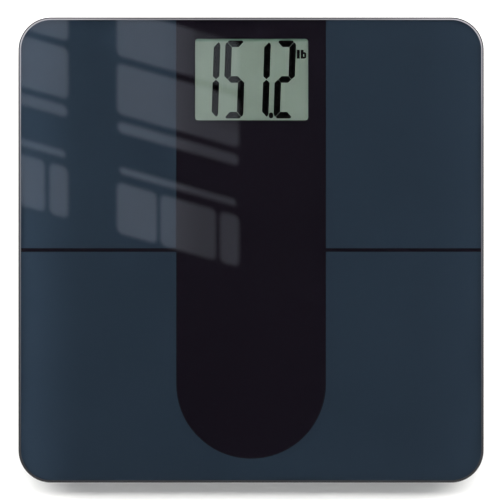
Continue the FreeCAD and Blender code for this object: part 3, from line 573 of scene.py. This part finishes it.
def solids_in(node):
    """Faces of a CAD node, grouped by the closed solid they belong to."""
    data = NODES[node].data
    owner = {}

    def root(key):
        while owner[key] != key:
            owner[key] = owner[owner[key]]
            key = owner[key]
        return key

    spots = [tuple(round(c, 7) for c in vertex.co) for vertex in data.vertices]
    for spot in spots:
        owner.setdefault(spot, spot)
    for face in data.polygons:
        first = root(spots[face.vertices[0]])
        for index in face.vertices[1:]:
            owner[root(spots[index])] = first
    groups = {}
    for face in data.polygons:
        groups.setdefault(root(spots[face.vertices[0]]), []).append(face)
    return list(groups.values())


def paint_each_solid(node, materials):
    """Gives each solid of a CAD node the next finish in the list."""
    paint(node, *materials)
    for place, faces in enumerate(solids_in(node)):
        for face in faces:
            face.material_index = place % len(materials)


def pad_grooves(node):
    """Middle of a foot pad, middle radius of each of its grooves, and the height of their roof."""
    low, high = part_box(node)
    middle = (low + high) / 2
    points = [vertex.co for vertex in NODES[node].data.vertices]
    roof = sorted({round(point.z, 6) for point in points})[1]
    edges = sorted({round((point.xy - middle.xy).length, 4)
                    for point in points if abs(point.z - roof) < 0.01 * MM})
    return middle, [(inner + outer) / 2 for inner, outer in zip(edges[::2], edges[1::2])], roof


def nub_ring_tree():
    """Geometry nodes: a ring of grip nubs that hang from a groove's roof, evenly spaced."""
    tree = bpy.data.node_groups.new("grip_nub_ring", "GeometryNodeTree")
    face = tree.interface
    kinds = {
        "Middle": "NodeSocketVector", "Ring radius": "NodeSocketFloat",
        "Spacing": "NodeSocketFloat", "Nub radius": "NodeSocketFloat",
        "Nub height": "NodeSocketFloat", "Finish": "NodeSocketMaterial"}
    sockets = {name: face.new_socket(name, in_out="INPUT", socket_type=kind)
               for name, kind in kinds.items()}
    face.new_socket("Geometry", in_out="OUTPUT", socket_type="NodeSocketGeometry")
    given = tree.nodes.new("NodeGroupInput").outputs

    def add(kind, settings=(), **inputs):
        node = tree.nodes.new(kind)
        for name, value in settings:
            setattr(node, name, value)
        for name, value in inputs.items():
            socket = node.inputs[name.replace("_", " ")]
            if isinstance(value, bpy.types.NodeSocket):
                tree.links.new(value, socket)
            else:
                socket.default_value = value
        return node

    ring = add("GeometryNodeCurvePrimitiveCircle", Radius=given["Ring radius"])
    spots = add(
        "GeometryNodeResampleCurve", [("mode", "LENGTH")],
        Curve=ring.outputs[0], Length=given["Spacing"])
    taper = 0.7
    tip = add("ShaderNodeMath", [("operation", "MULTIPLY")])
    tree.links.new(given["Nub radius"], tip.inputs[0])
    tip.inputs[1].default_value = taper
    nub = add("GeometryNodeMeshCone", Vertices=12, Depth=given["Nub height"])
    tree.links.new(given["Nub radius"], nub.inputs["Radius Top"])
    tree.links.new(tip.outputs[0], nub.inputs["Radius Bottom"])
    nubs = add("GeometryNodeInstanceOnPoints", Points=spots.outputs[0], Instance=nub.outputs[0])
    moved = add(
        "GeometryNodeTransform", Geometry=nubs.outputs[0], Translation=given["Middle"])
    solid = add("GeometryNodeRealizeInstances", Geometry=moved.outputs[0])
    done = add("GeometryNodeSetMaterial", Geometry=solid.outputs[0], Material=given["Finish"])
    add("NodeGroupOutput", Geometry=done.outputs[0])
    return tree, {name: socket.identifier for name, socket in sockets.items()}


def sizes():
    """The sizes set in the panel."""
    return bpy.context.scene.scale_sizes


def colours():
    """The colours set in the panel."""
    return bpy.context.scene.scale_colours


# ---- pieces ----
class SCALE_OT_glass(bpy.types.Operator):
    """Glass platform with a rounded, polished edge. It reaches down into the print."""

    bl_idname = "scale.glass"
    bl_label = "Glass Platform"

    def execute(self, context):
        half = GLASS_HIGH.x
        top = GLASS_HIGH.z
        bevel = sizes().edge_bevel
        bottom = GLASS_LOW.z - 0.5 * (BLUE_HIGH.z - BLUE_LOW.z)
        plate = ringed_plate("glass_plate", [
            (half - 0.8 * MM, bottom),
            (half - 0.25 * MM, bottom + 0.25 * MM),
            (half, bottom + 0.8 * MM),
            (half, top - 0.72 * bevel),
            (half - 0.18 * bevel, top - 0.4 * bevel),
            (half - 0.5 * bevel, top - 0.16 * bevel),
            (half - bevel, top),
        ], sizes().corner_radius)
        clear = clear_glass("platform_glass", (0.97, 1.0, 0.99), 0.0, 0.004 * MM)
        ground = ground_edge("platform_edge", (0.31, 0.3, 0.335), sizes().corner_radius)
        plate.data.materials.append(clear)
        plate.data.materials.append(ground)
        for face in plate.data.polygons:
            face.material_index = int(STEEP < face.normal.z < FLAT)
        smooth = plate.modifiers.new("Even normals", "WEIGHTED_NORMAL")
        smooth.keep_sharp = True
        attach(plate, "scale_base")
        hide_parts("glass_platform")
        return {"FINISHED"}


class SCALE_OT_print(bpy.types.Operator):
    """Slate blue field and black panel printed on the back of the glass."""

    bl_idname = "scale.print"
    bl_label = "Printed Colours"

    def execute(self, context):
        # the last two numbers are the painted light toward the left and right sides
        paint("printed_field_blue", ink_print("blue_ink", colours().blue, 1.5, 1.16))
        paint("printed_panel_black", ink_print("black_ink", colours().black, 1.1, 1.1))
        return {"FINISHED"}


class SCALE_OT_display(bpy.types.Operator):
    """Display stack under the window."""

    bl_idname = "scale.display"
    bl_label = "Display"

    def execute(self, context):
        thin_glass = clear_glass("display_glass", (0.96, 1.0, 0.98), 0.01, 0.005 * MM)
        paint("lcd_segments", display_bars("display_bars"))
        paint("lcd_polariser", display_ground("display_ground", colours().display))
        paint("lcd_front_glass", thin_glass)
        paint("lcd_rear_glass", thin_glass)
        paint("lcd_reflector", foil("reflector_foil", (0.7, 0.74, 0.7)))
        paint("lcd_holder", moulded_plastic("holder_plastic", (0.03, 0.03, 0.032), 0.4 * MM))
        paint("zebra_strip", layered_rubber("strip_rubber"))
        return {"FINISHED"}


class SCALE_OT_tray(bpy.types.Operator):
    """Moulded tray and the foam tape on its rim."""

    bl_idname = "scale.tray"
    bl_label = "Base Tray"

    def execute(self, context):
        paint("base_tray", moulded_plastic("tray_plastic", colours().tray, sizes().grain))
        paint("platform_tape", foam_tape("tape_foam", (0.02, 0.02, 0.021)))
        return {"FINISHED"}


class SCALE_OT_feet(bpy.types.Operator):
    """Feet, rubber pads and the load cells above them."""

    bl_idname = "scale.feet"
    bl_label = "Feet and Load Cells"

    def execute(self, context):
        cup = moulded_plastic("foot_plastic", scaled(colours().tray, 0.85), 0.3 * MM)
        rubber = soft_rubber("pad_rubber", colours().pad)
        steel = rolled_steel("cell_steel", (0.6, 0.6, 0.59))
        sealant = silicone("gauge_sealant", (0.8, 0.79, 0.74))
        nub_ring, inputs = nub_ring_tree()
        for corner in CORNERS:
            paint("foot_" + corner, cup)
            paint("foot_pad_" + corner, rubber)
            paint("load_cell_" + corner, steel)
            paint("gauge_cover_" + corner, sealant)
            self.make_nubs(corner, rubber, nub_ring, inputs)
        return {"FINISHED"}

    def make_nubs(self, corner, rubber, nub_ring, inputs):
        """Grip nubs in the grooves of one pad, as one plain mesh."""
        middle, radii, roof = pad_grooves("foot_pad_" + corner)
        height = NUB_SHARE * roof
        mesh = bmesh.new()
        for radius in radii:
            holder = as_object("nub_ring", bmesh.new())
            ring = holder.modifiers.new("Nubs", "NODES")
            ring.node_group = nub_ring
            settings = {
                "Middle": (middle.x, middle.y, roof - height), "Ring radius": radius,
                "Spacing": sizes().nub_spacing, "Nub radius": sizes().nub_radius,
                "Nub height": height, "Finish": rubber}
            for name, value in settings.items():
                ring[inputs[name]] = value
            made = holder.evaluated_get(bpy.context.evaluated_depsgraph_get())
            data = bpy.data.meshes.new_from_object(made)
            mesh.from_mesh(data)
            bpy.data.objects.remove(holder)
        nubs = as_object("grip_nubs_" + corner, mesh)
        nubs.data.materials.append(rubber)
        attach(nubs, corner + "_foot")


class SCALE_OT_wiring(bpy.types.Operator):
    """Wires from the load cells and the battery box to the board."""

    bl_idname = "scale.wiring"
    bl_label = "Wiring"

    def execute(self, context):
        red = wire_jacket("red_jacket", (0.45, 0.015, 0.012))
        white = wire_jacket("white_jacket", (0.7, 0.69, 0.65))
        black = wire_jacket("black_jacket", (0.015, 0.015, 0.016))
        for corner in CORNERS:
            paint_each_solid("cell_wires_" + corner, [red, white, black])
        paint_each_solid("battery_wires", [red, black])
        return {"FINISHED"}


class SCALE_OT_board(bpy.types.Operator):
    """Board, its parts, solder and screws."""

    bl_idname = "scale.board"
    bl_label = "Main Board"

    def execute(self, context):
        paint("main_board", circuit_board("board_laminate"))
        paint("board_chip", cast_resin("chip_resin"))
        paint("board_parts", chip_bodies("part_bodies"))
        paint("solder_joints", bright_metal("solder", (0.62, 0.62, 0.6), 0.25))
        paint("board_screws", bright_metal("screw_steel", (0.55, 0.55, 0.56), 0.22))
        return {"FINISHED"}


class SCALE_OT_button(bpy.types.Operator):
    """Unit button and the push switch behind it."""

    bl_idname = "scale.button"
    bl_label = "Unit Button"

    def execute(self, context):
        dark = moulded_plastic("switch_case", (0.02, 0.02, 0.02), 0.25 * MM, 0.1 * MM)
        paint("unit_switch", dark)
        paint("unit_switch_plunger", dark)
        paint("unit_button", moulded_plastic("button_plastic", (0.12, 0.125, 0.13), 0.3 * MM))
        return {"FINISHED"}


class SCALE_OT_battery_box(bpy.types.Operator):
    """Battery door, the two cells and their contacts."""

    bl_idname = "scale.battery_box"
    bl_label = "Battery Box"

    def execute(self, context):
        paint("battery_door", moulded_plastic("door_plastic", colours().tray, sizes().grain))
        paint("battery_cell_front", cell_sleeve("front_cell_sleeve", True))
        paint("battery_cell_rear", cell_sleeve("rear_cell_sleeve", False))
        nickel = bright_metal("contact_metal", (0.72, 0.68, 0.6))
        for node in ("positive_contact", "negative_contact", "bridge_contact"):
            paint(node, nickel)
        return {"FINISHED"}


# ---- stage ----
CAMERA_X = -0.7 * MM
CARD_HEIGHT = 2.0                                 # dark card above the glass
CARD_HALF = 0.62
FLOOR_HALF = 8.0
PANE_FALL = 0.285                                 # fall of the window's rows toward +X
PANE_SOFT = 2.2 * MM                              # half width of a pane's soft edge
PANE_ROUND = 4.0 * MM                             # corner radius of a pane
PANE_ROWS = ((131.3, 101.0), (95.9, 63.6), (58.7, 51.8), (29.5, 25.3))
PANE_COLUMNS = ((-168.0, -117.9), (-86.3, -7.9))
LOW_ROW = (19.2, -13.2)
LOW_COLUMNS = (
    (-168.0, -133.0), (-129.7, -117.9), (-86.3, -60.7), (-58.3, -22.7), (-20.0, -7.9))


def lit_panes():
    """Lit window panes as (x0, x1, top, bottom) in millimetres, as they show in the glass.

    The heights are those at the middle of the glass, where the rows' fall is nil.
    """
    panes = [(x0, x1, top, bottom) for x0, x1 in PANE_COLUMNS for top, bottom in PANE_ROWS]
    return panes + [(x0, x1, *LOW_ROW) for x0, x1 in LOW_COLUMNS]


def mirrored_window(spread):
    """Dark card with the lit panes of a window, as large as spread times their mirror image."""
    nodes = Nodes("window_card")
    x, y, _ = nodes.axes()
    across = (x - CAMERA_X) / spread + CAMERA_X
    along = y / spread + PANE_FALL * across
    lit = 0.0
    for x0, x1, top, bottom in lit_panes():
        half_x = (x1 - x0) * MM / 2 - PANE_ROUND
        half_y = (top - bottom) * MM / 2
        rounding = min(PANE_ROUND, half_y)
        out_x = (abs(across - (x0 + x1) * MM / 2) - half_x).at_least(0.0)
        out_y = (abs(along - (top + bottom) * MM / 2) - (half_y - rounding)).at_least(0.0)
        beyond = (out_x * out_x + out_y * out_y).power(0.5) - rounding
        lit = beyond.step(PANE_SOFT, -PANE_SOFT).at_least(lit)
    near = across.step(-30 * MM, -62 * MM)
    glow = nodes.mix(near, (0.54, 0.58, 0.67), (0.97, 1.03, 1.2))
    right_of = across.step(WINDOW_LOW.x - 4 * MM, WINDOW_LOW.x + 4 * MM)
    over_display = right_of * along.step(WINDOW_LOW.y - 14 * MM, WINDOW_LOW.y - 4 * MM)
    glow = nodes.mix(over_display, glow, (0.36, 0.38, 0.42))
    shade = nodes.noise(0.3)
    return nodes.surface(
        Base_Color=(0.004, 0.004, 0.005), Roughness=0.9 + 0.05 * shade, Specular_IOR_Level=0.0,
        Emission_Color=nodes.mix(lit, (0, 0, 0), glow), Emission_Strength=1.0)


def area_lamp(name, place, target, size, power, colour):
    """Rectangular lamp turned toward a target."""
    data = bpy.data.lights.new(name, "AREA")
    data.shape = "RECTANGLE"
    data.size, data.size_y = size
    data.energy = power
    data.color = colour
    made = bpy.data.objects.new(name, data)
    made.location = place
    made.rotation_euler = (Vector(target) - Vector(place)).to_track_quat("-Z", "Y").to_euler()
    bpy.context.scene.collection.objects.link(made)
    return made


class SCALE_OT_stage(bpy.types.Operator):
    """Pale floor, soft light, the window that mirrors in the glass, and the camera."""

    bl_idname = "scale.stage"
    bl_label = "Stage"

    def execute(self, context):
        self.make_floor()
        self.make_card()
        self.make_light(context)
        self.make_camera(context)
        return {"FINISHED"}

    def make_floor(self):
        floor = flat_panel("floor", [
            (-FLOOR_HALF, -FLOOR_HALF, 0), (FLOOR_HALF, -FLOOR_HALF, 0),
            (FLOOR_HALF, FLOOR_HALF, 0), (-FLOOR_HALF, FLOOR_HALF, 0)])
        floor.data.materials.append(pale_floor("floor_paint", colours().floor))

    def make_card(self):
        z = GLASS_HIGH.z + CARD_HEIGHT
        spread = (sizes().camera_height + CARD_HEIGHT) / sizes().camera_height
        card = flat_panel("window_card", [
            (-CARD_HALF, CARD_HALF, z), (CARD_HALF, CARD_HALF, z),
            (CARD_HALF, -CARD_HALF, z), (-CARD_HALF, -CARD_HALF, z)])
        card.data.materials.append(mirrored_window(spread))

    def make_light(self, context):
        world = bpy.data.worlds.new("soft_sky")
        world.use_nodes = True
        background = world.node_tree.nodes["Background"]
        background.inputs["Color"].default_value = (0.98, 0.99, 1.0, 1.0)
        background.inputs["Strength"].default_value = 0.56
        context.scene.world = world
        area_lamp("key_lamp", (0.0, 1.06, 2.06), (0, 0, 0), (6.0, 0.9), 190, (1.0, 0.99, 0.97))
        context.scene.view_settings.view_transform = "Standard"

    def make_camera(self, context):
        data = bpy.data.cameras.new("overhead")
        data.sensor_width = 36.0
        data.lens = data.sensor_width * sizes().camera_height / sizes().view_width
        camera = bpy.data.objects.new("overhead", data)
        camera.location = (CAMERA_X, 0, GLASS_HIGH.z + sizes().camera_height)
        context.scene.collection.objects.link(camera)
        context.scene.camera = camera


class SCALE_PT_panel(bpy.types.Panel):
    """Lists the steps that finish the scale."""

    bl_label = "Bathroom Scale"
    bl_idname = "SCALE_PT_panel"
    bl_space_type = "VIEW_3D"
    bl_region_type = "UI"
    bl_category = "Bathroom Scale"

    def draw(self, context):
        for group in (context.scene.scale_sizes, context.scene.scale_colours):
            box = self.layout.box()
            for name in group.bl_rna.properties.keys():
                if name not in ("rna_type", "name"):
                    box.prop(group, name)
        for step in STEPS:
            self.layout.operator(step.bl_idname)


STEPS = (
    SCALE_OT_glass, SCALE_OT_print, SCALE_OT_display, SCALE_OT_tray, SCALE_OT_feet,
    SCALE_OT_wiring, SCALE_OT_board, SCALE_OT_button, SCALE_OT_battery_box, SCALE_OT_stage)
CLASSES = (ScaleSizes, ScaleColours, *STEPS, SCALE_PT_panel)


def register():
    for one in CLASSES:
        bpy.utils.register_class(one)
    bpy.types.Scene.scale_sizes = bpy.props.PointerProperty(type=ScaleSizes)
    bpy.types.Scene.scale_colours = bpy.props.PointerProperty(type=ScaleColours)


def unregister():
    del bpy.types.Scene.scale_colours
    del bpy.types.Scene.scale_sizes
    for one in reversed(CLASSES):
        bpy.utils.unregister_class(one)


def main():
    register()
    for step in STEPS:
        area, name = step.bl_idname.split(".")
        getattr(getattr(bpy.ops, area), name)()


if __name__ == "__main__":
    main()
